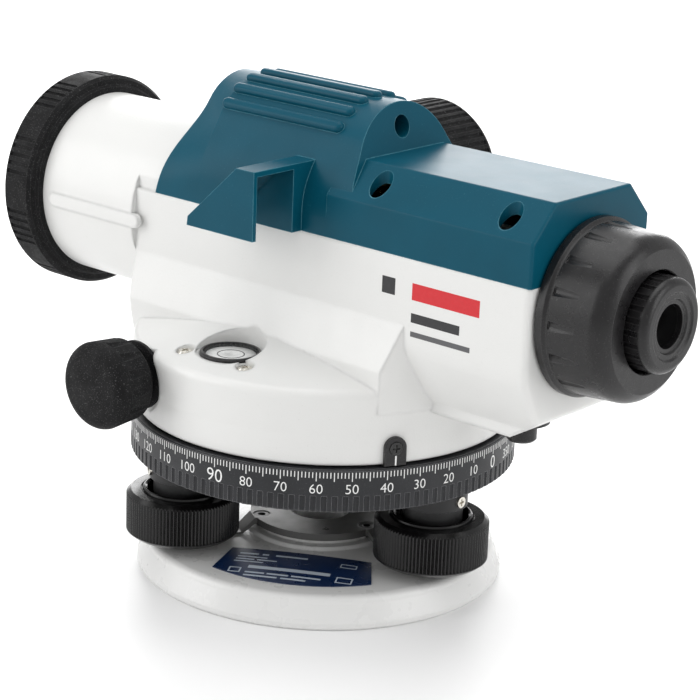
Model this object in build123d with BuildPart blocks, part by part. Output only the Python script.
from build123d import *
import math
import os

# Automatic level: a surveyor's telescope that levels its own line of sight.
# Millimetres. +X is the observer's end, -X the objective, +Y the focusing knob's side, +Z up.
# The origin is the centre of the base plate's underside, on the tripod thread's axis.

os.makedirs("parts", exist_ok=True)

# ---- Driving dimensions ----
BASE_R = 52.3
BASE_SHOULDER_Z = 9.05
BASE_TOP_Z = 13.0
TRIPOD_MINOR_R = 6.8
SCREW_CIRCLE_R = 40.9
SCREW_ANGLES = {"a": 0.0, "b": 120.0, "c": -120.0}
BALL_Z = 6.5
BALL_R = 3.9
SPINDLE_R = 3.0
KNOB_R = 15.9
KNOB_BOTTOM_Z = 11.6
KNOB_TOP_Z = 25.0
KNOB_RIBS = 96
ARM_Z = (28.8, 34.0)
DIAL_R = 54.5
DIAL_Z = (35.1, 47.0)
DIAL_FLUTES = 120
DRUM_R = 53.0
DRUM_BOTTOM_Z = 47.6
TELESCOPE_Z = 95.4
BARREL_R = 26.7
PARTING_Z = 104.0
HALF_WIDTH = 24.9
TAIL_X = 87.6
COVER_SHOULDER_Z = 115.5
COVER_TOP_Z = 124.6
COVER_TOP_HALF = 16.1
DOME_TOP_Z = 137.5
VIAL_X = 0.0
VIAL_Y = -38.8
VIAL_TOP_Z = 70.9
VIAL_SCREWS = [(-10.6, -45.4), (10.6, -44.4)]
WORM_X = -25.0
WORM_Z = 60.3
WHEEL_TEETH = 84
WHEEL_MODULE = 0.5
PINION_TEETH = 12
PINION_MODULE = 0.4
FOCUS_X = 0.5
FOCUS_Z = 107.8
POINTER_ANGLE = -28.0
LOCK_X = 69.5
RUNNING_GAP = 0.06

WHEEL_PITCH_R = WHEEL_TEETH * WHEEL_MODULE / 2
WORM_PITCH_R = -WORM_X - WHEEL_PITCH_R
WORM_LEAD = math.pi * WHEEL_MODULE
PINION_PITCH_R = PINION_TEETH * PINION_MODULE / 2
RACK_PITCH = math.pi * PINION_MODULE


def radial_plane(angle, distance=0.0, height=0.0):
    """Plane through the main axis: x points outwards at the angle, y points up."""
    a = math.radians(angle)
    outwards = Vector(math.cos(a), math.sin(a), 0)
    return Plane(origin=outwards * distance + Vector(0, 0, height), x_dir=outwards,
                 z_dir=(math.sin(a), -math.cos(a), 0))


def facing_plane(angle, distance, height):
    """Plane tangent to a circle about the main axis: its normal points outwards, y points up."""
    a = math.radians(angle)
    outwards = Vector(math.cos(a), math.sin(a), 0)
    return Plane(origin=outwards * distance + Vector(0, 0, height),
                 x_dir=(-math.sin(a), math.cos(a), 0), z_dir=outwards)


def screw_axis(angle):
    """Foot of a levelling screw's axis on z = 0."""
    a = math.radians(angle)
    return Vector(SCREW_CIRCLE_R * math.cos(a), SCREW_CIRCLE_R * math.sin(a), 0)


def telescope_plane(x):
    """Plane across the telescope's axis, with its origin on that axis: x is +Y, y is +Z."""
    return Plane(origin=(x, 0, TELESCOPE_Z), x_dir=(0, 1, 0), z_dir=(1, 0, 0))


def cap_middle(pole, edge, height):
    """Middle point of a spherical cap's outline, whose centre lies on the axis."""
    sag = edge - pole
    radius = (height ** 2 + sag ** 2) / (2 * sag)
    half = height / 2
    return pole + radius - math.copysign(math.sqrt(radius ** 2 - half ** 2), radius), half


TELESCOPE_AXIS = Axis((0, 0, TELESCOPE_Z), (1, 0, 0))
# Half plane through the telescope's axis: x runs along the axis, y is the radius.
TELESCOPE_HALF = Plane(origin=(0, 0, TELESCOPE_Z), x_dir=(1, 0, 0), z_dir=(0, -1, 0))


def turned(points, axis, plane, mode=Mode.ADD):
    """Revolves a closed outline about an axis, inside the calling part."""
    with BuildSketch(plane) as outline:
        with BuildLine():
            Polyline(*points, close=True)
        make_face()
    revolve(outline.sketch, axis=axis, mode=mode)


def phillips(plane, size, depth):
    """Cuts a cross recess into a screw head."""
    with BuildSketch(plane) as cross:
        Rectangle(size, size * 0.26)
        Rectangle(size * 0.26, size)
    extrude(cross.sketch, amount=-depth, mode=Mode.SUBTRACT)


# ---- Base plate and what is fixed to it ----
SEAT_POCKET_R = 6.3
SEAT_FLOOR_Z = 2.2
SPRING_SCREW_R = 17.6
LEAF_Z = (10.55, 11.05)

with BuildPart() as base_plate:
    with BuildSketch(Plane.XZ):
        with BuildLine():
            Polyline((50.1, 7.0), (BASE_R, 2.0), (BASE_R, 0.7), (BASE_R - 0.7, 0), (0, 0), (0, BASE_TOP_Z),
                     (17.4, BASE_TOP_Z), (18.2, 12.2), (18.4, 11.6), (20.8, 11.5), (21.6, 10.6), (24, 10.5),
                     (48.0, BASE_SHOULDER_Z))
            ThreePointArc((48.0, BASE_SHOULDER_Z), (49.4, 8.45), (50.1, 7.0))
        make_face()
    revolve(axis=Axis.Z)
    with BuildSketch(Plane.XY):
        Circle(45)
        Circle(23, mode=Mode.SUBTRACT)
    extrude(amount=1.0, mode=Mode.SUBTRACT)
    with BuildSketch(Plane.XY):
        Circle(TRIPOD_MINOR_R)
    extrude(amount=BASE_TOP_Z, mode=Mode.SUBTRACT)
    with BuildSketch(Plane.XY.offset(SEAT_FLOOR_Z)):
        for seat_angle in SCREW_ANGLES.values():
            with Locations(screw_axis(seat_angle)):
                Circle(SEAT_POCKET_R)
    extrude(amount=BASE_TOP_Z, mode=Mode.SUBTRACT)
    with BuildSketch(Plane.XY.offset(BASE_TOP_Z)):
        with PolarLocations(SPRING_SCREW_R, 3):
            Circle(1.25)
    extrude(amount=-7.5, mode=Mode.SUBTRACT)
base_plate.part.label = "base_plate"
export_step(base_plate.part, "parts/base_plate.step")

# A leaf with three arms: its rings press on the foot screws' balls.
with BuildPart() as spring_plate:
    with BuildSketch(Plane.XY.offset(BASE_TOP_Z)):
        Circle(20.0)
    extrude(amount=2.0)
    for arm_angle in SCREW_ANGLES.values():
        with BuildSketch(radial_plane(arm_angle)):
            with BuildLine():
                Polyline((8, 15), (20.4, 15), (24.4, LEAF_Z[1]), (SCREW_CIRCLE_R, LEAF_Z[1]),
                         (SCREW_CIRCLE_R, LEAF_Z[0]), (24.0, LEAF_Z[0]), (20.6, BASE_TOP_Z), (8, BASE_TOP_Z),
                         close=True)
            make_face()
        extrude(amount=2.8, both=True)
    with BuildSketch(Plane.XY.offset(LEAF_Z[0])):
        for arm_angle in SCREW_ANGLES.values():
            with Locations(screw_axis(arm_angle)):
                Circle(7.0)
    extrude(amount=LEAF_Z[1] - LEAF_Z[0])
    with BuildSketch(Plane.XY.offset(10.0)):
        Circle(8.6)
        for arm_angle in SCREW_ANGLES.values():
            with Locations(screw_axis(arm_angle)):
                Circle(3.1)
    extrude(amount=6.0, mode=Mode.SUBTRACT)
    for arm_angle in SCREW_ANGLES.values():
        plane = radial_plane(arm_angle, SPRING_SCREW_R)
        turned([(0, 12), (1.25, 12), (1.25, 13.7), (2.45, 14.9), (2.45, 16), (0, 16)],
               Axis(plane.origin, (0, 0, 1)), plane, Mode.SUBTRACT)
spring_plate.part.label = "spring_plate"
export_step(spring_plate.part, "parts/spring_plate.step")

with BuildPart() as spring_plate_screws:
    for arm_angle in SCREW_ANGLES.values():
        plane = radial_plane(arm_angle, SPRING_SCREW_R)
        turned([(0, 6), (1.2, 6), (1.2, 13.65), (2.4, 14.85), (1.1, 14.85), (1.1, 13.2), (0, 12.8)],
               Axis(plane.origin, (0, 0, 1)), plane)
spring_plate_screws.part.label = "spring_plate_screws"
export_step(spring_plate_screws.part, "parts/spring_plate_screws.step")

# Data plate: a thin sector that follows the base's shallow cone.
LABEL_ANGLE = -60.0
LABEL_OUTER_R = 43.8
with BuildPart() as data_plate:
    with BuildSketch(radial_plane(LABEL_ANGLE - 45)):
        with BuildLine():
            Polyline((24.2, 10.50), (LABEL_OUTER_R, 9.32), (LABEL_OUTER_R, 9.52), (24.2, 10.70), close=True)
        make_face()
    revolve(axis=Axis.Z, revolution_arc=90)
    with BuildSketch(Plane(origin=(0, 0, 8), x_dir=radial_plane(LABEL_ANGLE).x_dir, z_dir=(0, 0, 1))):
        Polygon((24.4, -19.8), (24.4, 19.8), (50, 24.6), (50, -24.6), align=None)
    extrude(amount=4, mode=Mode.INTERSECT)
data_plate.part.label = "data_plate"
export_step(data_plate.part, "parts/data_plate.step")


# ---- Seats and foot screws ----
def seat_outline(outer_r):
    """Half section of a ball seat, relative to the screw's axis."""
    mouth_z = 9.0
    gap_r = BALL_R + RUNNING_GAP
    mouth_r = math.sqrt(gap_r ** 2 - (mouth_z - BALL_Z) ** 2)
    floor_z = BALL_Z - gap_r
    return outer_r, mouth_z, gap_r, mouth_r, floor_z


def add_seat(axis_point, outer_r, bottom_z):
    """A cup with a spherical socket that closes round the ball."""
    outer_r, mouth_z, gap_r, mouth_r, floor_z = seat_outline(outer_r)
    with BuildSketch(Plane(origin=axis_point, x_dir=(1, 0, 0), z_dir=(0, -1, 0))) as cup:
        with BuildLine():
            Polyline((0, floor_z), (0, bottom_z), (outer_r, bottom_z), (outer_r, mouth_z), (mouth_r, mouth_z))
            ThreePointArc((mouth_r, mouth_z), (gap_r, BALL_Z), (0, floor_z))
        make_face()
    revolve(cup.sketch, axis=Axis(axis_point, (0, 0, 1)))


with BuildPart() as seat_cup_a:
    add_seat(screw_axis(SCREW_ANGLES["a"]), SEAT_POCKET_R, SEAT_FLOOR_Z)
seat_cup_a.part.label = "seat_cup_a"
export_step(seat_cup_a.part, "parts/seat_cup_a.step")

# These two rock with the level about the line through their balls, so they stand clear of the pockets.
with BuildPart() as rocking_seat_cups:
    for letter in ("b", "c"):
        add_seat(screw_axis(SCREW_ANGLES[letter]), SEAT_POCKET_R - 0.5, SEAT_FLOOR_Z + 0.35)
rocking_seat_cups.part.label = "rocking_seat_cups"
export_step(rocking_seat_cups.part, "parts/rocking_seat_cups.step")

NECK_R = 2.4
RECESS_FLOOR_Z = 21.4
RECESS_R = 10.1
for letter, angle in SCREW_ANGLES.items():
    foot = screw_axis(angle)
    foot_axis = Axis(foot, (0, 0, 1))
    neck_z = BALL_Z + math.sqrt(BALL_R ** 2 - NECK_R ** 2)
    with BuildPart() as foot_screw:
        with BuildSketch(Plane(origin=foot, x_dir=(1, 0, 0), z_dir=(0, -1, 0))):
            with BuildLine():
                Polyline((NECK_R, neck_z), (NECK_R, RECESS_FLOOR_Z), (SPINDLE_R, RECESS_FLOOR_Z + 0.4),
                         (SPINDLE_R, 33.0), (SPINDLE_R - 0.6, 33.6), (0, 33.6), (0, BALL_Z - BALL_R))
                ThreePointArc((0, BALL_Z - BALL_R), (BALL_R, BALL_Z), (NECK_R, neck_z))
            make_face()
        revolve(axis=foot_axis)
    foot_screw.part.label = f"foot_screw_{letter}"
    export_step(foot_screw.part, f"parts/foot_screw_{letter}.step")

    with BuildPart() as foot_knob:
        turned([(NECK_R, KNOB_BOTTOM_Z), (13.4, KNOB_BOTTOM_Z), (14.6, 12.2), (KNOB_R, 13.3),
                (KNOB_R, KNOB_TOP_Z - 1.3), (KNOB_R - 1.3, KNOB_TOP_Z), (11.9, KNOB_TOP_Z), (11.4, 24.6),
                (11.2, 25.5), (10.7, 25.8), (RECESS_R, 25.3), (RECESS_R, RECESS_FLOOR_Z),
                (NECK_R, RECESS_FLOOR_Z)],
               foot_axis, Plane(origin=foot, x_dir=(1, 0, 0), z_dir=(0, -1, 0)))
        with BuildSketch(Plane(origin=foot + Vector(0, 0, 13.6), x_dir=(1, 0, 0), z_dir=(0, 0, 1))):
            with PolarLocations(KNOB_R, KNOB_RIBS):
                RegularPolygon(0.42, 4)
        extrude(amount=KNOB_TOP_Z - 13.6 + 0.1, mode=Mode.SUBTRACT)
    foot_knob.part.label = f"foot_knob_{letter}"
    export_step(foot_knob.part, f"parts/foot_knob_{letter}.step")

# ---- Tribrach, the three-armed frame on the foot screws ----
POST_R = 16.0
POST_TOP_Z = 46.0
SLEEVE_R = 12.0
SLEEVE_BORE_R = 8.0
WEB_Z = (41.0, 43.6)
ARM_CLEARANCE_R = SPINDLE_R + 1.3

with BuildPart() as tribrach:
    with BuildSketch(Plane.XY.offset(ARM_Z[0])):
        Circle(21)
        for angle in SCREW_ANGLES.values():
            with Locations(Location(screw_axis(angle) * 0.5, (0, 0, angle))):
                Rectangle(SCREW_CIRCLE_R, 16.0)
            with Locations(screw_axis(angle)):
                Circle(9.6)
    extrude(amount=ARM_Z[1] - ARM_Z[0])
    with BuildSketch(Plane.XY.offset(24.2)):
        for angle in SCREW_ANGLES.values():
            with Locations(screw_axis(angle)):
                Circle(8.4)
    extrude(amount=ARM_Z[0] - 24.2)
    turned([(0, 24.6), (14.5, 24.6), (17.5, 27.0), (17.5, 30.0), (19.4, 34.0), (19.4, WEB_Z[0] - 0.2),
            (POST_R, WEB_Z[0] - 0.2), (POST_R, POST_TOP_Z), (0, POST_TOP_Z)], Axis.Z, Plane.XZ)
    with BuildSketch(Plane.XY.offset(20)):
        Circle(SLEEVE_R)
        for angle in SCREW_ANGLES.values():
            with Locations(screw_axis(angle)):
                Circle(ARM_CLEARANCE_R)
    extrude(amount=30, mode=Mode.SUBTRACT)
    for angle in SCREW_ANGLES.values():
        with BuildSketch(facing_plane(angle, SCREW_CIRCLE_R + 9.6, 31.2)):
            Circle(1.6)
        extrude(amount=-4.5, mode=Mode.SUBTRACT)
tribrach.part.label = "tribrach"
export_step(tribrach.part, "parts/tribrach.step")

with BuildPart() as tension_screws:
    for angle in SCREW_ANGLES.values():
        with BuildSketch(facing_plane(angle, SCREW_CIRCLE_R + 5.2, 31.2)):
            Circle(1.6)
        extrude(amount=4.9)
        phillips(facing_plane(angle, SCREW_CIRCLE_R + 10.1, 31.2), 1.9, 0.7)
tension_screws.part.label = "tension_screws"
export_step(tension_screws.part, "parts/tension_screws.step")

with BuildPart() as axis_sleeve:
    turned([(SLEEVE_BORE_R, 24.8), (SLEEVE_R, 24.8), (SLEEVE_R, 53.0), (15.0, 53.0), (15.0, 55.2),
            (SLEEVE_R, 55.2), (SLEEVE_R, 65.6), (SLEEVE_BORE_R, 65.6)], Axis.Z, Plane.XZ)
axis_sleeve.part.label = "axis_sleeve"
export_step(axis_sleeve.part, "parts/axis_sleeve.step")

# ---- Horizontal circle ----
with BuildPart() as horizontal_circle:
    turned([(POST_R + RUNNING_GAP, WEB_Z[0]), (50.5, WEB_Z[0]), (50.5, DIAL_Z[0]), (DIAL_R - 0.3, DIAL_Z[0]),
            (DIAL_R, DIAL_Z[0] + 0.3), (DIAL_R, DIAL_Z[1] - 0.4), (DIAL_R - 0.4, DIAL_Z[1]), (48.5, DIAL_Z[1]),
            (48.5, WEB_Z[1]), (POST_R + RUNNING_GAP, WEB_Z[1])], Axis.Z, Plane.XZ)
    # Grip flutes: shallow grooves with round ends, open at the rim's lower edge.
    with BuildSketch(Plane.XY.offset(DIAL_Z[0] - 0.1)):
        with PolarLocations(DIAL_R + 0.35, DIAL_FLUTES):
            Circle(0.85)
    extrude(amount=4.6, mode=Mode.SUBTRACT)
horizontal_circle.part.label = "horizontal_circle"
export_step(horizontal_circle.part, "parts/horizontal_circle.step")

with BuildPart() as circle_spring_ring:
    with BuildSketch(Plane.XY.offset(WEB_Z[1] + 0.15)):
        Circle(20.5)
        Circle(POST_R, mode=Mode.SUBTRACT)
    extrude(amount=1.2)
circle_spring_ring.part.label = "circle_spring_ring"
export_step(circle_spring_ring.part, "parts/circle_spring_ring.step")

# ---- Friction worm wheel on the sleeve ----
with BuildPart() as worm_wheel:
    with BuildSketch(Plane.XY.offset(57.6)):
        Circle(WHEEL_PITCH_R + 0.4)
        Circle(SLEEVE_R + RUNNING_GAP, mode=Mode.SUBTRACT)
        with PolarLocations(WHEEL_PITCH_R, WHEEL_TEETH):
            Polygon((0.7, 0.62), (0.7, -0.62), (-0.65, -0.42), (-0.65, 0.42), align=None, mode=Mode.SUBTRACT)
    extrude(amount=5.4)
    with BuildSketch(Plane.XY.offset(55.35)):
        Circle(16.5)
        Circle(SLEEVE_R + RUNNING_GAP, mode=Mode.SUBTRACT)
    extrude(amount=2.25)
worm_wheel.part.label = "worm_wheel"
export_step(worm_wheel.part, "parts/worm_wheel.step")

with BuildPart() as friction_washer:
    with BuildSketch(Plane.XY.offset(63.0)):
        Circle(17)
        Circle(SLEEVE_R + RUNNING_GAP, mode=Mode.SUBTRACT)
    extrude(amount=0.8)
friction_washer.part.label = "friction_washer"
export_step(friction_washer.part, "parts/friction_washer.step")

with BuildPart() as sleeve_nut:
    with BuildSketch(Plane.XY.offset(63.95)):
        Circle(15)
        Circle(SLEEVE_R, mode=Mode.SUBTRACT)
    extrude(amount=1.5)
    with BuildSketch(Plane.XY.offset(63.95)):
        with PolarLocations(15, 4):
            Rectangle(2.4, 3.0)
    extrude(amount=1.5, mode=Mode.SUBTRACT)
sleeve_nut.part.label = "sleeve_nut"
export_step(sleeve_nut.part, "parts/sleeve_nut.step")

with BuildPart() as vertical_spindle:
    turned([(0, 26.0), (6.4, 26.0), (SLEEVE_BORE_R - 0.05, 28.0), (SLEEVE_BORE_R - 0.05, 66.5), (17.0, 66.5),
            (17.0, 69.0), (0, 69.0)], Axis.Z, Plane.XZ)
vertical_spindle.part.label = "vertical_spindle"
export_step(vertical_spindle.part, "parts/vertical_spindle.step")

# ---- Main housing: drum, tower, tail and objective barrel in one casting ----
RIM_R = 54.2
CONE_INNER = (30.0, 74.6)
FLARE_TOP_Z = 86.0
FLARE_FOOT_Y = 30.2
CHAMBER_HALF = 22.2
VIAL_R = 8.4
VIAL_GLASS_R = 7.5
VIAL_BORE_R = 6.9
VIAL_FLOOR_Z = VIAL_TOP_Z - 6.3
KEEL_Z = 61.0
BARREL_PASS_HALF = 23.8

# The tower's side walls lean out below the flare line; each half is trimmed by a turned surface.
FLARED_WALL = [(-HALF_WIDTH, PARTING_Z), (-HALF_WIDTH, FLARE_TOP_Z), (-FLARE_FOOT_Y, 73.5), (-FLARE_FOOT_Y, 62),
               (FLARE_FOOT_Y, 62), (FLARE_FOOT_Y, 73.5), (HALF_WIDTH, FLARE_TOP_Z), (HALF_WIDTH, PARTING_Z)]

with BuildPart() as tower_front:
    with BuildSketch(Plane.YZ.offset(-60)):
        with BuildLine():
            Polyline(*FLARED_WALL, close=True)
        make_face()
    extrude(amount=60)
    with BuildSketch(Plane.XZ):
        with BuildLine():
            Polyline((0, 62), (54.6, 62))
            Spline((54.6, 62), (57.0, 74.0), (56.6, 88.0), (54.6, 97.5), (50.7, PARTING_Z))
            Polyline((50.7, PARTING_Z), (0, PARTING_Z), (0, 62))
        make_face()
    revolve(axis=Axis.Z, mode=Mode.INTERSECT)
    front_edges = [e for e in tower_front.edges().filter_by(GeomType.BSPLINE) if e.length > 15]
    fillet(front_edges, 2.2)

with BuildPart() as tower_rear:
    with BuildSketch(Plane.YZ):
        with BuildLine():
            Polyline(*FLARED_WALL, close=True)
        make_face()
    extrude(amount=60)
    with BuildSketch(Plane.XY.offset(60)):
        Circle(RIM_R)
    extrude(amount=46, mode=Mode.INTERSECT)

with BuildPart() as tail:
    with BuildSketch(Plane.YZ.offset(30)):
        with BuildLine():
            Line((-HALF_WIDTH, PARTING_Z), (-HALF_WIDTH, 82))
            Spline((-HALF_WIDTH, 82), (-22.8, 75), (-19.7, 69.2), (-16, 64), tangents=[(0, -1), (0.62, -0.78)])
            Polyline((-16, 64), (-16, KEEL_Z), (16, KEEL_Z), (16, 64))
            Spline((16, 64), (19.7, 69.2), (22.8, 75), (HALF_WIDTH, 82), tangents=[(0.62, 0.78), (0, 1)])
            Polyline((HALF_WIDTH, 82), (HALF_WIDTH, PARTING_Z), (-HALF_WIDTH, PARTING_Z))
        make_face()
    extrude(amount=TAIL_X - 30)
    # The keel's rear end slopes up to the rear face.
    with BuildSketch(Plane.XZ):
        with BuildLine():
            Polyline((77.5, KEEL_Z - 1), (77.5, KEEL_Z), (TAIL_X + 1, 68.0), (TAIL_X + 1, KEEL_Z - 1), close=True)
        make_face()
    extrude(amount=40, both=True, mode=Mode.SUBTRACT)
    rear_edges = [e for e in tail.faces().sort_by(Axis.X)[-1].edges() if e.center().Z < PARTING_Z - 1]
    fillet(rear_edges, 1.6)

with BuildPart() as barrel_root:
    with BuildSketch(telescope_plane(-52)):
        Circle(BARREL_R)
    extrude(amount=16.5)
    # The cover's side walls come down outside it, above the parting line.
    with BuildSketch(Plane.YZ.offset(-53)):
        for outer in (-HALF_WIDTH, HALF_WIDTH):
            Polygon((0, 60), (outer, 60), (outer, PARTING_Z), (math.copysign(BARREL_PASS_HALF - 0.05, outer), PARTING_Z),
                    (math.copysign(BARREL_PASS_HALF - 0.05, outer), 130), (0, 130), align=None)
    extrude(amount=20, mode=Mode.INTERSECT)

with BuildPart() as main_housing:
    with BuildSketch(Plane.XZ):
        with BuildLine():
            Polyline((0, DRUM_BOTTOM_Z), (DRUM_R - 0.4, DRUM_BOTTOM_Z), (DRUM_R, DRUM_BOTTOM_Z + 0.4), (DRUM_R, 56),
                     (RIM_R, 66.0))
            ThreePointArc((RIM_R, 66.0), (53.6, 67.8), (52.0, 68.7))
            Polyline((52.0, 68.7), CONE_INNER, (0, CONE_INNER[1]), (0, DRUM_BOTTOM_Z))
        make_face()
    revolve(axis=Axis.Z)
    add(tower_front.part)
    add(tower_rear.part)
    add(tail.part)
    with BuildSketch(telescope_plane(-99)):
        Circle(BARREL_R)
    extrude(amount=47.5)
    add(barrel_root.part)
    # Stiffening beads along the barrel, near side and top.
    with BuildSketch(Plane(origin=(-67, -BARREL_R - 0.7, TELESCOPE_Z - 0.6), x_dir=(1, 0, 0), z_dir=(0, -1, 0))):
        SlotOverall(37.5, 4.0)
    extrude(amount=-1.6)
    with BuildSketch(Plane(origin=(-67, BARREL_R + 0.7, TELESCOPE_Z - 0.6), x_dir=(1, 0, 0), z_dir=(0, -1, 0))):
        SlotOverall(37.5, 4.0)
    extrude(amount=1.6)
    # Optics chamber under the cover, and the barrel's bore.
    with BuildSketch(Plane.XY.offset(76)):
        with Locations((0.5, 0)):
            Rectangle(93, 2 * CHAMBER_HALF)
    extrude(amount=30, mode=Mode.SUBTRACT)
    with BuildSketch(Plane.YZ.offset(46)):
        with BuildLine():
            Polyline((-CHAMBER_HALF, 106), (-CHAMBER_HALF, 84), (-17, 73), (-17, 71), (17, 71), (17, 73),
                     (CHAMBER_HALF, 84), (CHAMBER_HALF, 106), close=True)
        make_face()
    extrude(amount=38.4, mode=Mode.SUBTRACT)
    with BuildSketch(telescope_plane(-99.1)):
        Circle(23.5)
    extrude(amount=70, mode=Mode.SUBTRACT)
    with BuildSketch(telescope_plane(80)):
        Circle(14.5)
    extrude(amount=10, mode=Mode.SUBTRACT)
    # Drum cavity, with a boss left for the level vial and a seat for the spindle's flange.
    turned([(0, DRUM_BOTTOM_Z - 1), (49.8, DRUM_BOTTOM_Z - 1), (49.8, 62.5), (30, 66.5), (17.05, 66.5), (17.05, 69.0),
            (0, 69.0)], Axis.Z, Plane.XZ, Mode.SUBTRACT)
    with BuildSketch(Plane.XY.offset(61.5)):
        with Locations((VIAL_X, VIAL_Y)):
            Circle(11.0)
    extrude(amount=7)
    # Vial recess, the round scoop in the wall behind it, and the adjusting screws' seats.
    with BuildSketch(Plane.XY.offset(VIAL_FLOOR_Z)):
        with Locations((VIAL_X, VIAL_Y)):
            Circle(VIAL_R + 0.1)
    extrude(amount=16, mode=Mode.SUBTRACT)
    with BuildSketch(Plane.XY.offset(VIAL_TOP_Z - 1.0)):
        with Locations((VIAL_X, VIAL_Y)):
            Circle(9.6)
    extrude(amount=16, mode=Mode.SUBTRACT)
    with BuildSketch(Plane.XY.offset(68.3)):
        with Locations(*VIAL_SCREWS):
            Circle(2.6)
    extrude(amount=5, mode=Mode.SUBTRACT)
    with BuildSketch(Plane.XY.offset(63.2)):
        with Locations(*VIAL_SCREWS):
            Circle(1.25)
    extrude(amount=6, mode=Mode.SUBTRACT)
    # Bores for the worm shaft's bushes.
    with BuildSketch(Plane(origin=(WORM_X, -60, WORM_Z), x_dir=(1, 0, 0), z_dir=(0, 1, 0))):
        Circle(5.0)
    extrude(amount=120, mode=Mode.SUBTRACT)
    # Lock button's bore and its pocket.
    with BuildSketch(Plane.XY.offset(KEEL_Z - 1)):
        with Locations((LOCK_X, 0)):
            Circle(4.35)
    extrude(amount=5, mode=Mode.SUBTRACT)
    with BuildSketch(Plane.XY.offset(64.0)):
        with Locations((LOCK_X, 0)):
            Circle(8.0)
    extrude(amount=10, mode=Mode.SUBTRACT)
    # Flats under the tangent knobs, and the notch for the focusing bush.
    for side in (1, -1):
        with BuildSketch(Plane(origin=(WORM_X, side * 48.4, WORM_Z), x_dir=(1, 0, 0), z_dir=(0, side, 0))):
            Circle(10.6)
        extrude(amount=12, mode=Mode.SUBTRACT)
    with BuildSketch(Plane(origin=(FOCUS_X, 19, FOCUS_Z), x_dir=(1, 0, 0), z_dir=(0, 1, 0))):
        Circle(5.0)
    extrude(amount=8, mode=Mode.SUBTRACT)
    # Pointer screw's hole.
    with BuildSketch(facing_plane(POINTER_ANGLE, DRUM_R + 0.5, 52.3)):
        Circle(0.8)
    extrude(amount=-5.5, mode=Mode.SUBTRACT)
main_housing.part.label = "main_housing"
export_step(main_housing.part, "parts/main_housing.step")

# ---- Top cover with its dome, peep sight and mirror hood ----
COVER_WALL = 2.4
DOME_FRONT_X = (-43.9, -35.0)
DOME_REAR_X = (30.6, 22.4)
DOME_RISE = DOME_TOP_Z - PARTING_Z


DOME_FULL_X = -27.0
DOME_SIDE_Z = 109.0
ARCH_HALF = 17.4
ARCH_SPRING_Z = 127.2
ARCH_RISE = DOME_TOP_Z - ARCH_SPRING_Z
ARCH_R = (ARCH_HALF ** 2 + ARCH_RISE ** 2) / (2 * ARCH_RISE)


def dome_section(plane, side_z, arch, stretch=1.0):
    """Outline across the dome: an upright side that bends smoothly into an arch over the top."""
    side_top = (side_z - PARTING_Z) * stretch
    half, spring = arch[0], (arch[1] - PARTING_Z) * stretch
    rise = DOME_RISE * stretch - spring
    radius = (half ** 2 + rise ** 2) / (2 * rise)
    along = Vector(rise - radius, half)
    with BuildSketch(plane) as section:
        with BuildLine():
            Polyline((-HALF_WIDTH, side_top), (-HALF_WIDTH, 0), (HALF_WIDTH, 0), (HALF_WIDTH, side_top))
            Spline((HALF_WIDTH, side_top), (half, spring), tangents=[(0, 1), along])
            ThreePointArc((half, spring), (0, DOME_RISE * stretch), (-half, spring))
            Spline((-half, spring), (-HALF_WIDTH, side_top), tangents=[(along.X, -along.Y), (0, -1)])
        make_face()
    return section.sketch


# The dome keeps one section over its ribbed length and narrows to a leaning front face.
with BuildPart() as dome:
    full_plane = Plane(origin=(DOME_FULL_X, 0, PARTING_Z), x_dir=(0, 1, 0), z_dir=(1, 0, 0))
    dome_section_mid = dome_section(full_plane, DOME_SIDE_Z, (ARCH_HALF, ARCH_SPRING_Z))
    extrude(dome_section_mid, amount=DOME_REAR_X[0] + 2 - DOME_FULL_X)
    with BuildSketch(Plane.XZ):
        Polygon((DOME_REAR_X[0], PARTING_Z), (DOME_REAR_X[1], DOME_TOP_Z), (DOME_REAR_X[1], DOME_TOP_Z + 5),
                (60, DOME_TOP_Z + 5), (60, PARTING_Z), align=None)
    extrude(amount=30, both=True, mode=Mode.SUBTRACT)
    front_lean = DOME_FRONT_X[1] - DOME_FRONT_X[0]
    front_plane = Plane(origin=(DOME_FRONT_X[0], 0, PARTING_Z), x_dir=(0, 1, 0), z_dir=(DOME_RISE, 0, -front_lean))
    front_section = dome_section(front_plane, PARTING_Z + 1.2, (10.9, 130.2),
                                 math.hypot(DOME_RISE, front_lean) / DOME_RISE)
    loft([front_section, dome_section_mid], ruled=True)

RIB_FRONT_X = -27.5
RIB_REAR_X = 16.2
RIB_PITCH_DEG = 16.0
RIB_WIDTH = 3.2

with BuildPart() as dome_ribs:
    for index in range(-3, 4):
        lean = math.radians(index * RIB_PITCH_DEG)
        outwards = Vector(0, math.sin(lean), math.cos(lean))
        centre = Vector((RIB_FRONT_X + RIB_REAR_X) / 2, 0, DOME_TOP_Z - ARCH_R) + outwards * (ARCH_R - 1.3)
        with BuildSketch(Plane(origin=centre, x_dir=(1, 0, 0), z_dir=outwards)):
            SlotOverall(RIB_REAR_X - RIB_FRONT_X, RIB_WIDTH)
        extrude(amount=2.9)
    rib_rims = [e for f in dome_ribs.faces() for e in f.edges()
                if (f.center() - Vector(f.center().X, 0, DOME_TOP_Z - ARCH_R)).length > ARCH_R + 0.9]
    fillet(rib_rims, 1.2)


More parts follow.
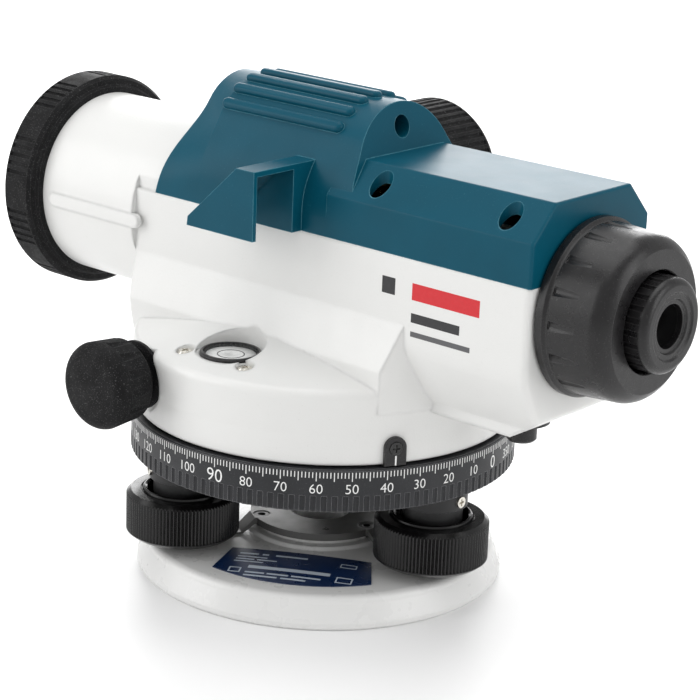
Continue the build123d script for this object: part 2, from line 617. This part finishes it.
with BuildPart() as top_cover:
    with BuildSketch(Plane.YZ.offset(20)):
        Polygon((-HALF_WIDTH, PARTING_Z), (-HALF_WIDTH, COVER_SHOULDER_Z), (-COVER_TOP_HALF, COVER_TOP_Z),
                (COVER_TOP_HALF, COVER_TOP_Z), (HALF_WIDTH, COVER_SHOULDER_Z), (HALF_WIDTH, PARTING_Z), align=None)
    extrude(amount=TAIL_X - 20)
    rear_face_edges = [e for e in top_cover.faces().sort_by(Axis.X)[-1].edges() if e.center().Z > PARTING_Z + 1]
    crease_edges = [e for e in top_cover.edges().filter_by(Axis.X) if e.center().Z > PARTING_Z + 1]
    fillet(rear_face_edges + crease_edges, 0.8)
    add(dome.part)
    add(dome_ribs.part)
    # Inside: hollow under the flat roof and under the dome.
    with BuildSketch(Plane.YZ.offset(18)):
        inner = HALF_WIDTH - COVER_WALL
        Polygon((-inner, PARTING_Z - 1), (-inner, COVER_SHOULDER_Z - 1), (-COVER_TOP_HALF + 1, COVER_TOP_Z - COVER_WALL),
                (COVER_TOP_HALF - 1, COVER_TOP_Z - COVER_WALL), (inner, COVER_SHOULDER_Z - 1), (inner, PARTING_Z - 1),
                align=None)
    extrude(amount=TAIL_X - COVER_WALL - 18, mode=Mode.SUBTRACT)
    with BuildSketch(Plane.YZ.offset(-36)):
        Polygon((-20.5, PARTING_Z - 1), (-20.5, 108.5), (-15.0, 119), (-10, 125.5), (10, 125.5), (15.0, 119),
                (20.5, 108.5), (20.5, PARTING_Z - 1), align=None)
    extrude(amount=56, mode=Mode.SUBTRACT)
    # Barrel passes under the dome's front edge.
    with BuildSketch(telescope_plane(-60)):
        Circle(BARREL_R + 0.05)
        Rectangle(2 * BARREL_PASS_HALF, 4 * BARREL_R, mode=Mode.INTERSECT)
    extrude(amount=24.6, mode=Mode.SUBTRACT)
    # Mirror hood on the near side.
    with BuildSketch(Plane.XZ.offset(18.3)):
        Polygon((-12.7, PARTING_Z), (-12.4, 106.5), (5.0, 122.6), (11.4, 122.6), (11.4, PARTING_Z), align=None)
    extrude(amount=43.7 - 18.3)
    with BuildSketch(Plane.XZ.offset(28.5)):
        Polygon((-11.0, PARTING_Z - 1), (-11.0, 105.8), (5.6, 121.1), (11.5, 121.1), (12.5, 121.1),
                (12.5, PARTING_Z - 1), align=None)
    extrude(amount=42.4 - 28.5, mode=Mode.SUBTRACT)
    with BuildSketch(Plane.YZ.offset(-40)):
        Polygon((-20.5, PARTING_Z - 1), (-20.5, 108.5), (-15.0, 119), (15.0, 119), (20.5, 108.5),
                (20.5, PARTING_Z - 1), align=None)
    extrude(amount=60, mode=Mode.SUBTRACT)
    # Screw wells and clearance holes.
    with BuildSketch(Plane.XY.offset(111)):
        with Locations((34.7, -20.3), (34.7, 20.3), (77, -20.4), (77, 20.4)):
            Circle(3.0)
    extrude(amount=20, mode=Mode.SUBTRACT)
    with BuildSketch(Plane.XY.offset(PARTING_Z)):
        with Locations((34.7, -20.3), (34.7, 20.3), (77, -20.4), (77, 20.4)):
            Circle(4.2)
    extrude(amount=7.0)
    with BuildSketch(Plane.XY.offset(PARTING_Z)):
        with Locations((34.7, -20.3), (34.7, 20.3), (77, -20.4), (77, 20.4)):
            Circle(1.6)
    extrude(amount=8, mode=Mode.SUBTRACT)
    # Peep sight: a wide eye hole behind and a pinhole in front.
    with BuildSketch(Plane.YZ.offset(-20)):
        with Locations((0, 131)):
            Circle(3.0)
    extrude(amount=60, mode=Mode.SUBTRACT)
    with BuildSketch(Plane.YZ.offset(-50)):
        with Locations((0, 131)):
            Circle(1.2)
    extrude(amount=31, mode=Mode.SUBTRACT)
    # Opening for the reticle holder in the rear wall.
    with BuildSketch(telescope_plane(80)):
        Circle(14.5)
    extrude(amount=10, mode=Mode.SUBTRACT)
    # Focusing shaft's bush.
    with BuildSketch(Plane.XZ.offset(-19)):
        with Locations((FOCUS_X, FOCUS_Z)):
            Circle(5.0)
    extrude(amount=-20, mode=Mode.SUBTRACT)
top_cover.part.label = "top_cover"
export_step(top_cover.part, "parts/top_cover.step")

with BuildPart() as cover_screws:
    for x, y in ((34.7, -20.3), (34.7, 20.3), (77, -20.4), (77, 20.4)):
        plane = Plane(origin=(x, y, 0), x_dir=(1, 0, 0), z_dir=(0, -1, 0))
        turned([(0, 105.0), (1.5, 105.0), (1.5, 111.0), (2.7, 111.0), (2.7, 112.4), (2.1, 113.2), (0, 113.4)],
               Axis((x, y, 0), (0, 0, 1)), plane)
        phillips(Plane(origin=(x, y, 113.5), x_dir=(1, 0, 0), z_dir=(0, 0, 1)), 3.2, 1.2)
cover_screws.part.label = "cover_screws"
export_step(cover_screws.part, "parts/cover_screws.step")

# The mirror lies under the hood's sloping wall, at about 45 degrees over the vial.
with BuildPart() as bubble_mirror:
    with BuildSketch(Plane.XZ.offset(28.9)):
        Polygon((-8.6, 107.75), (4.6, 119.93), (5.4, 119.06), (-7.8, 106.88), align=None)
    extrude(amount=42.0 - 28.9)
bubble_mirror.part.label = "bubble_mirror"
export_step(bubble_mirror.part, "parts/bubble_mirror.step")

# ---- Circular level ----
vial_axis = Axis((VIAL_X, VIAL_Y, 0), (0, 0, 1))
vial_plane = Plane(origin=(VIAL_X, VIAL_Y, 0), x_dir=(1, 0, 0), z_dir=(0, -1, 0))
VIAL_CUP_Z = VIAL_TOP_Z - 4.9
FLUID_TOP_Z = VIAL_CUP_Z + 2.9
FLUID_EDGE = (VIAL_BORE_R, FLUID_TOP_Z - 0.3)
GLASS_TOP_Z = VIAL_TOP_Z - 0.1
GLASS_EDGE = (VIAL_GLASS_R, GLASS_TOP_Z - 0.3)
with BuildPart() as vial_housing:
    turned([(0, VIAL_FLOOR_Z + 0.2), (VIAL_R, VIAL_FLOOR_Z + 0.2), (VIAL_R, VIAL_TOP_Z - 0.4),
            (VIAL_R - 0.4, VIAL_TOP_Z), (VIAL_GLASS_R, VIAL_TOP_Z), (VIAL_GLASS_R, VIAL_CUP_Z), (0, VIAL_CUP_Z)],
           vial_axis, vial_plane)
vial_housing.part.label = "vial_housing"
export_step(vial_housing.part, "parts/vial_housing.step")

with BuildPart() as vial_fluid:
    with BuildSketch(vial_plane):
        with BuildLine():
            Polyline((0, VIAL_CUP_Z), (VIAL_BORE_R, VIAL_CUP_Z), FLUID_EDGE)
            ThreePointArc(FLUID_EDGE, tuple(reversed(cap_middle(FLUID_TOP_Z, FLUID_EDGE[1], VIAL_BORE_R))),
                          (0, FLUID_TOP_Z))
            Line((0, FLUID_TOP_Z), (0, VIAL_CUP_Z))
        make_face()
    revolve(axis=vial_axis)
vial_fluid.part.label = "vial_fluid"
export_step(vial_fluid.part, "parts/vial_fluid.step")

with BuildPart() as vial_glass:
    with BuildSketch(vial_plane):
        with BuildLine():
            Polyline((VIAL_BORE_R, VIAL_CUP_Z), (VIAL_GLASS_R, VIAL_CUP_Z), GLASS_EDGE)
            ThreePointArc(GLASS_EDGE, tuple(reversed(cap_middle(GLASS_TOP_Z, GLASS_EDGE[1], VIAL_GLASS_R))),
                          (0, GLASS_TOP_Z))
            Line((0, GLASS_TOP_Z), (0, FLUID_TOP_Z))
            ThreePointArc((0, FLUID_TOP_Z), tuple(reversed(cap_middle(FLUID_TOP_Z, FLUID_EDGE[1], VIAL_BORE_R))),
                          FLUID_EDGE)
            Line(FLUID_EDGE, (VIAL_BORE_R, VIAL_CUP_Z))
        make_face()
    revolve(axis=vial_axis)
vial_glass.part.label = "vial_glass"
export_step(vial_glass.part, "parts/vial_glass.step")

with BuildPart() as vial_screws:
    for x, y in VIAL_SCREWS:
        plane = Plane(origin=(x, y, 0), x_dir=(1, 0, 0), z_dir=(0, -1, 0))
        turned([(0, 63.4), (1.2, 63.4), (1.2, 68.3), (2.3, 68.3), (2.3, 69.2), (1.7, 69.9), (0, 70.1)],
               Axis((x, y, 0), (0, 0, 1)), plane)
        phillips(Plane(origin=(x, y, 70.2), x_dir=(1, 0, 0), z_dir=(0, 0, 1)), 2.6, 0.9)
vial_screws.part.label = "vial_screws"
export_step(vial_screws.part, "parts/vial_screws.step")

# ---- Pointer over the circle ----
with BuildPart() as pointer:
    with BuildSketch(facing_plane(POINTER_ANGLE, DRUM_R - 1, 0)):
        with BuildLine():
            Polyline((-3.1, 52.3), (-3.1, 47.4), (3.1, 47.4), (3.1, 52.3))
            ThreePointArc((3.1, 52.3), (0, 55.4), (-3.1, 52.3))
        make_face()
    extrude(amount=2.3)
    pointer_axis = Axis((0, 0, 0), facing_plane(POINTER_ANGLE, 0, 0).z_dir)
    chamfer(pointer.faces().sort_by(pointer_axis)[-1].edges(), 0.25)
    with BuildSketch(Plane.XY.offset(40)):
        Circle(DRUM_R)
    extrude(amount=20, mode=Mode.SUBTRACT)
    with BuildSketch(facing_plane(POINTER_ANGLE, DRUM_R + 2, 52.3)):
        Circle(1.9)
    extrude(amount=-1.4, mode=Mode.SUBTRACT)
    with BuildSketch(facing_plane(POINTER_ANGLE, DRUM_R + 2, 52.3)):
        Circle(0.8)
    extrude(amount=-4, mode=Mode.SUBTRACT)
pointer.part.label = "pointer"
export_step(pointer.part, "parts/pointer.step")

with BuildPart() as pointer_screw:
    with BuildSketch(facing_plane(POINTER_ANGLE, DRUM_R + 0.62, 52.3)):
        Circle(1.75)
    extrude(amount=0.9)
    with BuildSketch(facing_plane(POINTER_ANGLE, DRUM_R + 0.62, 52.3)):
        Circle(0.75)
    extrude(amount=-4.0)
    phillips(facing_plane(POINTER_ANGLE, DRUM_R + 1.52, 52.3), 2.2, 0.6)
pointer_screw.part.label = "pointer_screw"
export_step(pointer_screw.part, "parts/pointer_screw.step")

# ---- Tangent screw: worm shaft, bushes and a knob at each end ----
WORM_SHAFT_R = 3.0
WORM_HALF_LENGTH = 8.0
BUSH_Y = (41.5, 48.3)
TANGENT_FACE_Y = 67.5
worm_plane = Plane(origin=(WORM_X, 0, WORM_Z), x_dir=(1, 0, 0), z_dir=(0, 1, 0))
worm_axis = Axis((WORM_X, 0, WORM_Z), (0, 1, 0))


def shaft_half(y):
    """Half plane through the worm shaft's axis with its x pointing along +Y or -Y."""
    side = 1 if y > 0 else -1
    return Plane(origin=(WORM_X, 0, WORM_Z), x_dir=(0, side, 0), z_dir=(side, 0, 0))


WORM_TURNS = 9
with BuildPart() as worm_thread:
    # The helix starts above the axis, so its crest faces the wheel a quarter turn later, at y = 0.
    thread_start = Vector(WORM_X, -(WORM_TURNS // 2 + 0.25) * WORM_LEAD, WORM_Z)
    with BuildLine() as thread_path:
        Helix(WORM_LEAD, WORM_TURNS * WORM_LEAD, WORM_PITCH_R - 0.8, center=thread_start, direction=(0, 1, 0))
    thread_foot = thread_path.line @ 0
    thread_out = (thread_foot - thread_start).normalized()
    with BuildSketch(Plane(origin=thread_foot, x_dir=thread_out, z_dir=thread_out.cross(Vector(0, 1, 0)))):
        Polygon((0, -0.5), (1.2, -0.26), (1.2, 0.26), (0, 0.5), align=None)
    sweep(is_frenet=True)

with BuildPart() as worm_shaft:
    with BuildSketch(worm_plane):
        Circle(WORM_SHAFT_R)
    extrude(amount=60, both=True)
    with BuildSketch(worm_plane):
        Circle(WORM_PITCH_R - 0.6)
    extrude(amount=WORM_HALF_LENGTH, both=True)
    add(worm_thread.part)
worm_shaft.part.label = "worm_shaft"
export_step(worm_shaft.part, "parts/worm_shaft.step")

with BuildPart() as worm_bushes:
    for side in (1, -1):
        turned([(BUSH_Y[0], WORM_SHAFT_R + RUNNING_GAP), (BUSH_Y[0], 5.0), (BUSH_Y[1], 5.0),
                (BUSH_Y[1], WORM_SHAFT_R + RUNNING_GAP)], worm_axis, shaft_half(side))
worm_bushes.part.label = "worm_bushes"
export_step(worm_bushes.part, "parts/worm_bushes.step")

for name, side in (("tangent_knob_left", 1), ("tangent_knob_right", -1)):
    with BuildPart() as tangent_knob:
        with BuildSketch(shaft_half(side)) as knob_outline:
            with BuildLine():
                Polyline((49.0, WORM_SHAFT_R), (49.0, 9.6), (49.9, 9.6), (50.6, 7.2), (53.2, 7.2), (53.9, 10.6),
                         (54.8, 11.4), (63.5, 12.1))
                ThreePointArc((63.5, 12.1), (65.9, 10.9), (66.9, 8.4))
                ThreePointArc((66.9, 8.4), cap_middle(TANGENT_FACE_Y, 66.9, 8.4), (TANGENT_FACE_Y, 0))
                Polyline((TANGENT_FACE_Y, 0), (60, 0), (60, WORM_SHAFT_R), (49.0, WORM_SHAFT_R))
            make_face()
        revolve(axis=worm_axis)
        # Finger grooves round the inner part of the grip.
        with BuildSketch(Plane(origin=(WORM_X, side * 53.0, WORM_Z), x_dir=(1, 0, 0), z_dir=(0, side, 0))):
            with PolarLocations(13.0, 14):
                Circle(1.75)
        extrude(amount=9.5, mode=Mode.SUBTRACT)
    tangent_knob.part.label = name
    export_step(tangent_knob.part, f"parts/{name}.step")

# ---- Objective: rubber hood, cell, lens and locking ring ----
HOOD_X = (-101.3, -88.8)
HOOD_R = 31.5
HOOD_MOUTH_R = 24.6
with BuildPart() as objective_hood:
    turned([(HOOD_X[0], HOOD_MOUTH_R + 0.6), (HOOD_X[0], 30.2), (HOOD_X[0] + 1.2, HOOD_R), (-91.0, HOOD_R),
            (-90.0, 30.6), (-89.8, 29.0), (-89.0, 28.4), (HOOD_X[1], BARREL_R), (-99.0, BARREL_R),
            (-99.0, HOOD_MOUTH_R), (HOOD_X[0] + 0.6, HOOD_MOUTH_R)], TELESCOPE_AXIS, TELESCOPE_HALF)
    # Grip grooves in groups of five with plain lands between.
    with BuildSketch(telescope_plane(HOOD_X[0] + 1.6)):
        for group in range(9):
            for groove in range(5):
                with PolarLocations(HOOD_R + 0.25, 1, start_angle=group * 40 + (groove - 2) * 4.6):
                    Rectangle(1.5, 1.25)
    extrude(amount=8.4, mode=Mode.SUBTRACT)
objective_hood.part.label = "objective_hood"
export_step(objective_hood.part, "parts/objective_hood.step")

with BuildPart() as objective_cell:
    turned([(-96.5, 20.9), (-96.5, 23.5), (-80.0, 23.5), (-80.0, 19.0), (-86.0, 19.0), (-86.0, 20.9)],
           TELESCOPE_AXIS, TELESCOPE_HALF)
objective_cell.part.label = "objective_cell"
export_step(objective_cell.part, "parts/objective_cell.step")

with BuildPart() as objective_lens:
    with BuildSketch(TELESCOPE_HALF):
        with BuildLine():
            ThreePointArc((-93.0, 0), cap_middle(-93.0, -90.6, 20.9), (-90.6, 20.9))
            Line((-90.6, 20.9), (-86.4, 20.9))
            ThreePointArc((-86.4, 20.9), cap_middle(-85.6, -86.4, 20.9), (-85.6, 0))
            Line((-85.6, 0), (-93.0, 0))
        make_face()
    revolve(axis=TELESCOPE_AXIS)
objective_lens.part.label = "objective_lens"
export_step(objective_lens.part, "parts/objective_lens.step")

with BuildPart() as objective_lock_ring:
    turned([(-95.2, 18.6), (-95.2, 20.9), (-92.2, 20.9), (-91.6, 18.6)], TELESCOPE_AXIS, TELESCOPE_HALF)
objective_lock_ring.part.label = "objective_lock_ring"
export_step(objective_lock_ring.part, "parts/objective_lock_ring.step")

# ---- Focusing: guide tube, sliding carriage with rack, negative lens, pinion and knob ----
GUIDE_BORE_R = 19.6
RACK_TOP_Z = FOCUS_Z - PINION_PITCH_R
RACK_Y = (10.5, 16.5)
with BuildPart() as focus_guide:
    turned([(-74.0, GUIDE_BORE_R), (-74.0, 23.5), (-70.0, 23.5), (-70.0, 21.4), (-33.0, 21.4), (-33.0, 23.4),
            (-31.0, 23.4), (-31.0, GUIDE_BORE_R)], TELESCOPE_AXIS, TELESCOPE_HALF)
    with BuildSketch(Plane.XY.offset(100)):
        with Locations((-45, (RACK_Y[0] + RACK_Y[1]) / 2)):
            Rectangle(40, RACK_Y[1] - RACK_Y[0] + 1.2)
    extrude(amount=20, mode=Mode.SUBTRACT)
focus_guide.part.label = "focus_guide"
export_step(focus_guide.part, "parts/focus_guide.step")

with BuildPart() as focus_carriage:
    turned([(-58.0, 15.0), (-58.0, GUIDE_BORE_R - RUNNING_GAP), (-44.0, GUIDE_BORE_R - RUNNING_GAP), (-44.0, 16.0),
            (-52.0, 16.0), (-52.0, 15.0)], TELESCOPE_AXIS, TELESCOPE_HALF)
    with BuildSketch(Plane.XZ.offset(-RACK_Y[0])):
        Polygon((-44.6, RACK_TOP_Z - 2.6), (-44.6, RACK_TOP_Z - 0.42), (10.4, RACK_TOP_Z - 0.42),
                (10.4, RACK_TOP_Z - 2.6),
                align=None)
    extrude(amount=-(RACK_Y[1] - RACK_Y[0]))
    # Rack teeth: a tooth space faces the pinion's lowest tooth at rest.
    rack_teeth = int(20 / RACK_PITCH)
    with BuildSketch(Plane.XZ.offset(-RACK_Y[0])):
        for tooth in range(-rack_teeth // 2, rack_teeth // 2):
            with Locations((FOCUS_X + (tooth + 0.5) * RACK_PITCH, RACK_TOP_Z - 0.42)):
                Polygon((-0.41, -0.1), (0.41, -0.1), (0.41, 0), (0.16, 0.64), (-0.16, 0.64), (-0.41, 0), align=None)
    extrude(amount=-(RACK_Y[1] - RACK_Y[0]))
focus_carriage.part.label = "focus_carriage"
export_step(focus_carriage.part, "parts/focus_carriage.step")

with BuildPart() as focus_lens:
    with BuildSketch(TELESCOPE_HALF):
        with BuildLine():
            ThreePointArc((-49.0, 0), cap_middle(-49.0, -51.6, 16.0), (-51.6, 16.0))
            Line((-51.6, 16.0), (-45.0, 16.0))
            ThreePointArc((-45.0, 16.0), cap_middle(-47.0, -45.0, 16.0), (-47.0, 0))
            Line((-47.0, 0), (-49.0, 0))
        make_face()
    revolve(axis=TELESCOPE_AXIS)
focus_lens.part.label = "focus_lens"
export_step(focus_lens.part, "parts/focus_lens.step")

FOCUS_KNOB_Y = (28.2, 47.5)
FOCUS_KNOB_R = 21.3
FOCUS_SHAFT_R = 2.5
focus_axis = Axis((FOCUS_X, 0, FOCUS_Z), (0, 1, 0))
focus_half = Plane(origin=(FOCUS_X, 0, FOCUS_Z), x_dir=(0, 1, 0), z_dir=(1, 0, 0))
focus_plane = Plane(origin=(FOCUS_X, 0, FOCUS_Z), x_dir=(1, 0, 0), z_dir=(0, 1, 0))


def involute(base_r, radius):
    """Angle of an involute flank at a radius, from where it leaves the base circle."""
    tangent = math.sqrt(max((radius / base_r) ** 2 - 1, 0))
    return tangent - math.atan(tangent)


def pinion_tooth(teeth, pitch_r, tip_r, root_r, backlash):
    """Outline of one involute tooth on the x axis."""
    base_r = pitch_r * math.cos(math.radians(20))
    half_angle = math.pi / 2 / teeth - backlash / 2 / pitch_r + involute(base_r, pitch_r)
    radii = [base_r + (tip_r - base_r) * step / 4 for step in range(5)]
    upper = [(r * math.cos(half_angle - involute(base_r, r)), r * math.sin(half_angle - involute(base_r, r)))
             for r in radii]
    foot = [(root_r * math.cos(half_angle), root_r * math.sin(half_angle))]
    outline = [(0.6 * root_r, 0)] + foot + upper
    return outline + [(x, -y) for x, y in reversed(foot + upper)]


with BuildPart() as focus_pinion:
    with BuildSketch(focus_plane.offset(RACK_Y[0] - 1)):
        Circle(PINION_PITCH_R - 0.4)
    extrude(amount=RACK_Y[1] - RACK_Y[0] + 2)
    with BuildSketch(focus_plane.offset(RACK_Y[0])):
        with PolarLocations(0, PINION_TEETH, start_angle=90):
            Polygon(*pinion_tooth(PINION_TEETH, PINION_PITCH_R, PINION_PITCH_R + 0.3, PINION_PITCH_R - 0.4, 0.12),
                    align=None)
    extrude(amount=RACK_Y[1] - RACK_Y[0])
    with BuildSketch(focus_plane.offset(RACK_Y[1] + 1)):
        Circle(FOCUS_SHAFT_R)
    extrude(amount=45 - RACK_Y[1] - 1)
focus_pinion.part.label = "focus_pinion"
export_step(focus_pinion.part, "parts/focus_pinion.step")

with BuildPart() as focus_bush:
    turned([(19.5, FOCUS_SHAFT_R + RUNNING_GAP), (19.5, 5.0), (HALF_WIDTH, 5.0), (HALF_WIDTH, 9.0),
            (26.4, 9.0), (27.0, 8.4), (27.0, FOCUS_SHAFT_R + RUNNING_GAP)], focus_axis, focus_half)
focus_bush.part.label = "focus_bush"
export_step(focus_bush.part, "parts/focus_bush.step")

with BuildPart() as focus_knob:
    turned([(FOCUS_KNOB_Y[0], FOCUS_SHAFT_R), (FOCUS_KNOB_Y[0], 18.0), (29.2, 20.6), (30.0, FOCUS_KNOB_R),
            (45.2, FOCUS_KNOB_R), (46.6, 20.4), (FOCUS_KNOB_Y[1], 18.4), (FOCUS_KNOB_Y[1], 14.2), (46.6, 13.2),
            (46.6, 0), (45.0, 0), (45.0, FOCUS_SHAFT_R)], focus_axis, focus_half)
    with BuildSketch(focus_plane.offset(30.6)):
        with PolarLocations(FOCUS_KNOB_R + 0.35, 54):
            Circle(0.85)
    extrude(amount=14.0, mode=Mode.SUBTRACT)
focus_knob.part.label = "focus_knob"
export_step(focus_knob.part, "parts/focus_knob.step")

# ---- Compensator: hanger, swinging pendulum, prisms, damping magnet ----
PENDULUM_X = 28.0
FRAME_HALF = 18.0
BRIDGE_Z = 101.8
with BuildPart() as compensator_frame:
    with BuildSketch(Plane.XY.offset(76)):
        with Locations((PENDULUM_X, 0)):
            Rectangle(46, 2 * FRAME_HALF)
    extrude(amount=2.4)
    for inner_y in (FRAME_HALF - 2.4, -FRAME_HALF):
        with BuildSketch(Plane.XZ.offset(-inner_y)):
            Polygon((PENDULUM_X - 19, 78.4), (PENDULUM_X - 6, 103.8), (PENDULUM_X + 6, 103.8),
                    (PENDULUM_X + 19, 78.4), align=None)
        extrude(amount=-2.4)
    with BuildSketch(Plane.XY.offset(BRIDGE_Z)):
        with Locations((PENDULUM_X, 0)):
            Rectangle(9, 2 * FRAME_HALF)
    extrude(amount=2.0)
    # Blocks under the fixed prisms.
    with BuildSketch(Plane.XY.offset(78.4)):
        with Locations((PENDULUM_X - 17, 0), (PENDULUM_X + 17, 0)):
            Rectangle(9.0, 14)
    extrude(amount=10.1)
compensator_frame.part.label = "compensator_frame"
export_step(compensator_frame.part, "parts/compensator_frame.step")

with BuildPart() as pendulum:
    with BuildSketch(Plane.XY.offset(84.0)):
        with Locations((PENDULUM_X, 0)):
            Rectangle(22, 28)
    extrude(amount=3.2)
    with BuildSketch(Plane.XY.offset(84.0)):
        with Locations((PENDULUM_X, 13.2), (PENDULUM_X, -13.2)):
            Rectangle(8, 2.4)
    extrude(amount=13.6)
    with BuildSketch(Plane.XY.offset(95.6)):
        with Locations((PENDULUM_X, 12.2), (PENDULUM_X, -12.2)):
            Rectangle(8, 4.4)
    extrude(amount=2.0)
    # Suspension ribbons, up to just below the hanger's bridge.
    with BuildSketch(Plane.XY.offset(97.6)):
        with GridLocations(5.0, 23.6, 2, 2):
            with Locations((PENDULUM_X, 0)):
                Rectangle(0.25, 3.0)
    extrude(amount=BRIDGE_Z - 0.2 - 97.6)
pendulum.part.label = "pendulum"
export_step(pendulum.part, "parts/pendulum.step")

with BuildPart() as pendulum_prism:
    with BuildSketch(Plane.XZ.offset(-9)):
        Polygon((PENDULUM_X - 9.5, 87.2), (PENDULUM_X + 9.5, 87.2), (PENDULUM_X, 96.7), align=None)
    extrude(amount=18)
pendulum_prism.part.label = "pendulum_prism"
export_step(pendulum_prism.part, "parts/pendulum_prism.step")

with BuildPart() as fixed_prisms:
    for side in (-1, 1):
        x = PENDULUM_X + 17 * side
        with BuildSketch(Plane.XZ.offset(-7)):
            Polygon((x - 4.5 * side, 88.5), (x + 4.5 * side, 88.5), (x + 4.5 * side, 100.5), align=None)
        extrude(amount=14)
fixed_prisms.part.label = "fixed_prisms"
export_step(fixed_prisms.part, "parts/fixed_prisms.step")

with BuildPart() as damping_magnet:
    with BuildSketch(Plane.XY.offset(78.4)):
        with Locations((PENDULUM_X, 0)):
            Circle(6.0)
    extrude(amount=4.4)
damping_magnet.part.label = "damping_magnet"
export_step(damping_magnet.part, "parts/damping_magnet.step")

# ---- Reticle, its cover, and the eyepiece ----
with BuildPart() as reticle_holder:
    turned([(74.0, 7.0), (74.0, 14.0), (80.0, 14.0), (84.4, 14.5), (TAIL_X, 14.5), (TAIL_X, 17.5), (90.5, 17.5),
            (90.5, 10.1), (78.0, 10.1), (76.0, 7.0)], TELESCOPE_AXIS, TELESCOPE_HALF)
reticle_holder.part.label = "reticle_holder"
export_step(reticle_holder.part, "parts/reticle_holder.step")

with BuildPart() as reticle_glass:
    with BuildSketch(telescope_plane(74.5)):
        Circle(7.0)
    extrude(amount=1.4)
reticle_glass.part.label = "reticle_glass"
export_step(reticle_glass.part, "parts/reticle_glass.step")

CUP_X = (TAIL_X + 0.3, 108.1)
with BuildPart() as reticle_cover:
    with BuildSketch(TELESCOPE_HALF):
        with BuildLine():
            Polyline((CUP_X[0], 18.0), (CUP_X[0], 23.0), (88.4, 23.5), (90.4, 23.5), (91.0, 22.9), (91.2, 22.6),
                     (102.8, 21.9))
            ThreePointArc((102.8, 21.9), (105.9, 21.0), (107.7, 19.2))
            Polyline((107.7, 19.2), (CUP_X[1], 18.6), (CUP_X[1], 13.6), (107.7, 13.2), (105.6, 13.2), (105.6, 18.0),
                     (CUP_X[0], 18.0))
        make_face()
    revolve(axis=TELESCOPE_AXIS)
    with BuildSketch(telescope_plane(91.6)):
        with PolarLocations(23.9, 16):
            Circle(1.9)
    extrude(amount=7.5, mode=Mode.SUBTRACT)
reticle_cover.part.label = "reticle_cover"
export_step(reticle_cover.part, "parts/reticle_cover.step")

with BuildPart() as eyepiece_barrel:
    turned([(84.0, 7.4), (84.0, 10.04), (99.0, 10.04), (99.0, 9.0), (110.6, 9.0), (110.6, 6.4), (99.0, 6.4),
            (97.0, 7.4)], TELESCOPE_AXIS, TELESCOPE_HALF)
eyepiece_barrel.part.label = "eyepiece_barrel"
export_step(eyepiece_barrel.part, "parts/eyepiece_barrel.step")

with BuildPart() as eyepiece_lens:
    with BuildSketch(TELESCOPE_HALF):
        with BuildLine():
            ThreePointArc((106.6, 0), cap_middle(106.6, 105.0, 6.4), (105.0, 6.4))
            Line((105.0, 6.4), (103.2, 6.4))
            ThreePointArc((103.2, 6.4), cap_middle(101.6, 103.2, 6.4), (101.6, 0))
            Line((101.6, 0), (106.6, 0))
        make_face()
    revolve(axis=TELESCOPE_AXIS)
eyepiece_lens.part.label = "eyepiece_lens"
export_step(eyepiece_lens.part, "parts/eyepiece_lens.step")

with BuildPart() as eyepiece_ring:
    with BuildSketch(TELESCOPE_HALF):
        with BuildLine():
            Polyline((99.6, 9.05), (99.6, 12.0), (100.0, 12.4), (111.6, 12.4))
            ThreePointArc((111.6, 12.4), (113.0, 11.9), (113.7, 10.6))
            Polyline((113.7, 10.6), (113.7, 9.0), (113.2, 8.4), (113.2, 7.2), (112.6, 6.8), (112.6, 5.8),
                     (111.0, 5.6), (111.0, 9.05), (99.6, 9.05))
        make_face()
    revolve(axis=TELESCOPE_AXIS)
    with BuildSketch(telescope_plane(100.4)):
        with PolarLocations(12.75, 24):
            Circle(0.8)
    extrude(amount=11.0, mode=Mode.SUBTRACT)
eyepiece_ring.part.label = "eyepiece_ring"
export_step(eyepiece_ring.part, "parts/eyepiece_ring.step")

# ---- Compensator lock button under the tail ----
lock_axis = Axis((LOCK_X, 0, 0), (0, 0, 1))
lock_half = Plane(origin=(LOCK_X, 0, 0), x_dir=(1, 0, 0), z_dir=(0, -1, 0))
with BuildPart() as lock_button:
    turned([(0, 54.4), (3.5, 54.4), (4.1, 55.0), (4.1, 64.4), (7.0, 64.4), (7.0, 65.4), (0, 65.4)],
           lock_axis, lock_half)
lock_button.part.label = "lock_button"
export_step(lock_button.part, "parts/lock_button.step")

with BuildPart() as lock_collar:
    with BuildSketch(Plane.XY.offset(KEEL_Z - 1.2)):
        with Locations((LOCK_X, 0)):
            Circle(7.4)
            Circle(4.35, mode=Mode.SUBTRACT)
    extrude(amount=1.2)
lock_collar.part.label = "lock_collar"
export_step(lock_collar.part, "parts/lock_collar.step")

LOCK_SPRING_R = 4.4
LOCK_SPRING_Z = (65.45, 71.0)
with BuildPart() as lock_spring:
    wire_r = 0.3
    spring_height = LOCK_SPRING_Z[1] - LOCK_SPRING_Z[0] - 2 * wire_r
    with BuildLine(Plane.XY.offset(LOCK_SPRING_Z[0] + wire_r).shift_origin((LOCK_X, 0, LOCK_SPRING_Z[0] + wire_r))):
        Helix(spring_height / 4, spring_height, LOCK_SPRING_R)
    with BuildSketch(Plane(origin=(LOCK_X + LOCK_SPRING_R, 0, LOCK_SPRING_Z[0] + wire_r), x_dir=(1, 0, 0),
                           z_dir=(0, 1, 0))):
        Circle(wire_r)
    sweep(is_frenet=True)
lock_spring.part.label = "lock_spring"
export_step(lock_spring.part, "parts/lock_spring.step")

with BuildPart() as lock_bridge:
    with BuildSketch(Plane.XY.offset(71.0)):
        with Locations((LOCK_X, 0)):
            Rectangle(20, 12)
    extrude(amount=1.4)
lock_bridge.part.label = "lock_bridge"
export_step(lock_bridge.part, "parts/lock_bridge.step")
